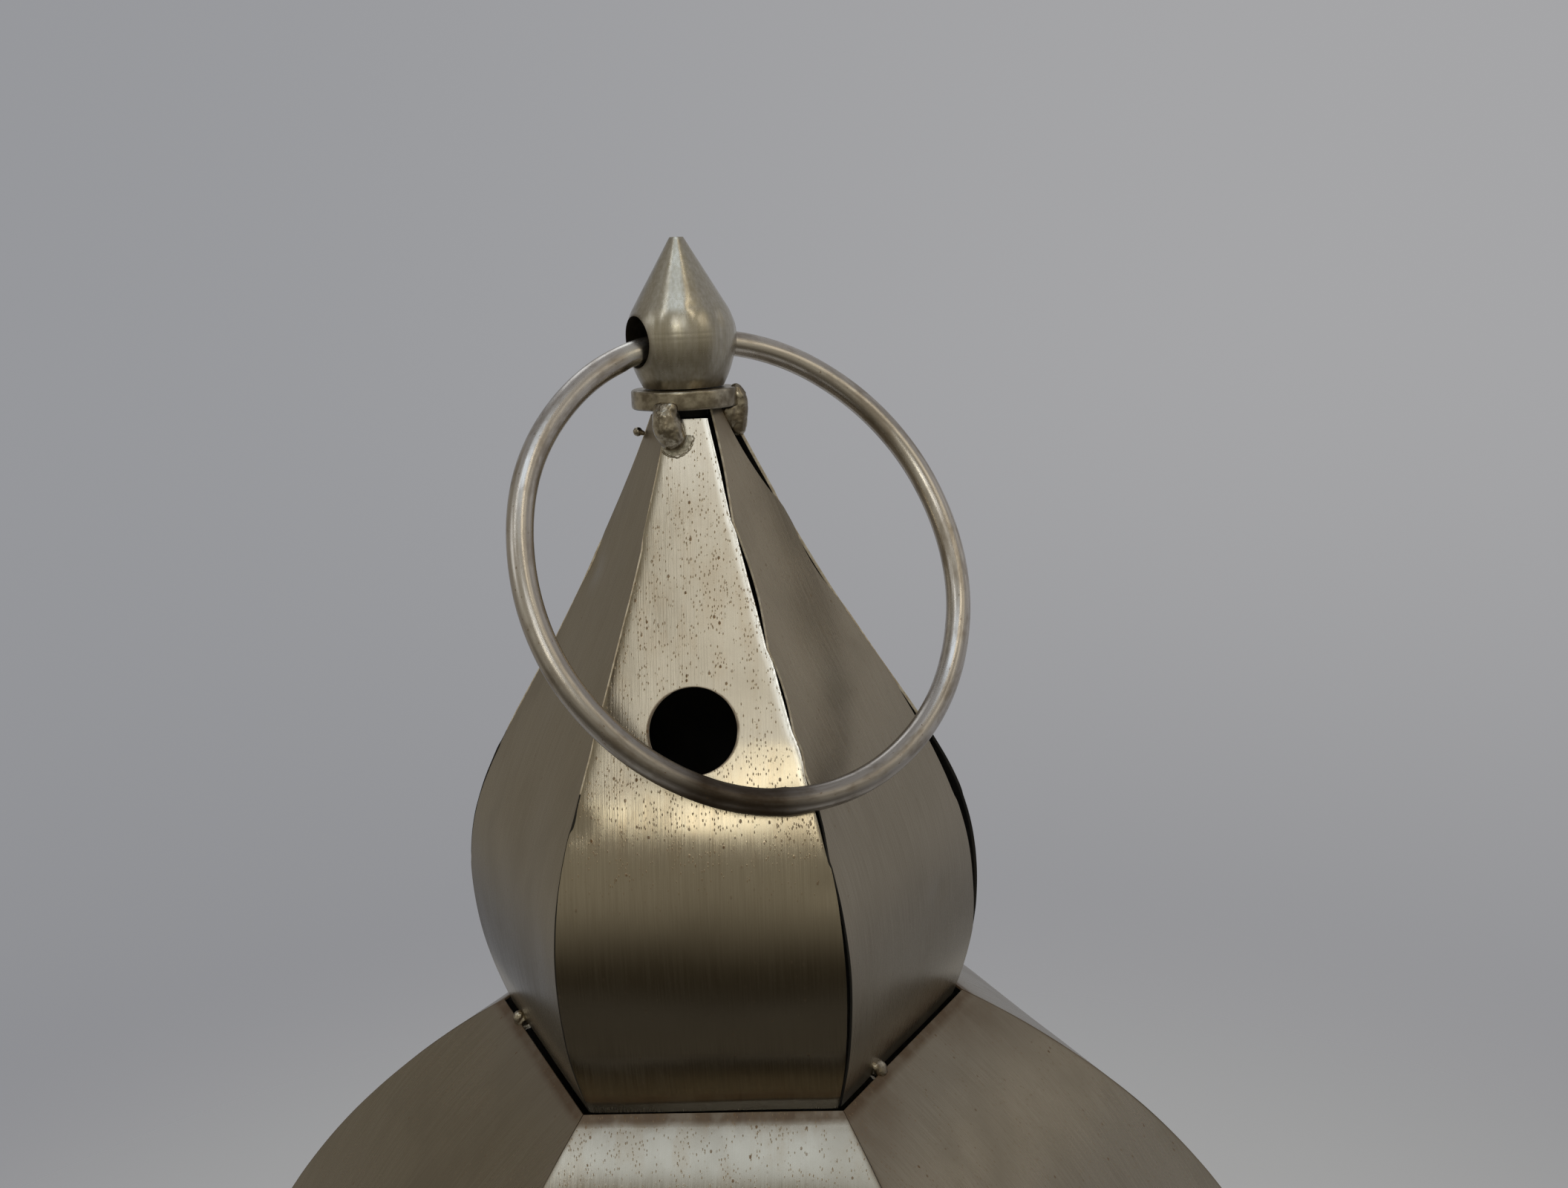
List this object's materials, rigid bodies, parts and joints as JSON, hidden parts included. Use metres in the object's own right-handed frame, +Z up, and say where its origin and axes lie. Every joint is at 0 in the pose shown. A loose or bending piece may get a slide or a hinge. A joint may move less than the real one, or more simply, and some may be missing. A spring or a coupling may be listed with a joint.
{
  "type": "candle lantern",
  "caption": "Hexagonal sheet-metal candle lantern: onion dome with vent holes, domed roof, glazed body with a hinged door, and a swinging carrying ring through a turned finial.",
  "frame": {"origin": "on the floor, under the middle of the lantern", "axes": "+Z up along the lantern's middle, -Y out of the front panel and the door, +X to the right seen from the front"},
  "size_m": [0.33, 0.2858, 0.6191],
  "materials": {
    "sheet_steel": "bare sheet with a faint brushed grain, light brown tarnish and fine rust specks",
    "turned_steel": "satin, lathe-turned, lightly tarnished",
    "steel_rod": "satin drawn rod, brown discolouring near its weld",
    "weld_metal": "rough grey-brown weld metal",
    "clear_glass": "clear window glass"
  },
  "bodies": {
    "lantern": {"finial": "turned_steel", "collar_washer": "weld_metal", "collar_lug_front_left": "weld_metal", "collar_lug_right": "weld_metal", "collar_lug_rear_left": "weld_metal", "weld_bead": "weld_metal", "dome_panel_front": "sheet_steel", "dome_panel_front_right": "sheet_steel", "dome_panel_rear_right": "sheet_steel", "dome_panel_rear": "sheet_steel", "dome_panel_rear_left": "sheet_steel", "dome_panel_front_left": "sheet_steel", "dome_tack_left": "weld_metal", "dome_tack_right": "weld_metal", "dome_tack_rear_left": "weld_metal", "dome_tack_rear_right": "weld_metal", "roof_panel_front": "sheet_steel", "roof_panel_front_right": "sheet_steel", "roof_panel_rear_right": "sheet_steel", "roof_panel_rear": "sheet_steel", "roof_panel_rear_left": "sheet_steel", "roof_panel_front_left": "sheet_steel", "top_frame": "sheet_steel", "post_front_right": "sheet_steel", "post_right": "sheet_steel", "post_rear_right": "sheet_steel", "post_rear_left": "sheet_steel", "post_left": "sheet_steel", "post_front_left": "sheet_steel", "glass_front_right": "clear_glass", "glass_rear_right": "clear_glass", "glass_rear": "clear_glass", "glass_rear_left": "clear_glass", "glass_front_left": "clear_glass", "hinge_upper_post_barrel": "turned_steel", "hinge_upper_pin": "steel_rod", "hinge_lower_post_barrel": "turned_steel", "hinge_lower_pin": "steel_rod", "latch_rivet": "steel_rod", "base_plate": "sheet_steel", "base_skirt": "sheet_steel", "foot_front_right": "turned_steel", "foot_right": "turned_steel", "foot_rear_right": "turned_steel", "foot_rear_left": "turned_steel", "foot_left": "turned_steel", "foot_front_left": "turned_steel", "candle_dish": "sheet_steel", "dish_rivet": "steel_rod"},
    "ring": {"ring_handle": "steel_rod"},
    "door": {"door_frame": "sheet_steel", "door_glass": "clear_glass", "door_knob": "turned_steel", "hinge_upper_door_barrel": "turned_steel", "hinge_lower_door_barrel": "turned_steel"},
    "turn_button": {"latch": "sheet_steel"}
  },
  "joints": [
    {"name": "ring_swing", "type": "hinge", "parent": "lantern", "child": "ring", "pos_m": [-0.0012, 0.00088, 0.59567], "axis": [-0.8241, -0.5641, 0.0516], "range_deg": [0, 298]},
    {"name": "door_swing", "type": "hinge", "parent": "lantern", "child": "door", "pos_m": [-0.07425, -0.1332, 0.15], "axis": [0, 0, -1], "range_deg": [0, 150]},
    {"name": "latch_turn", "type": "hinge", "parent": "lantern", "child": "turn_button", "pos_m": [0.069, -0.1335, 0.16345], "axis": [0, 1, 0], "continuous": true}
  ]
}
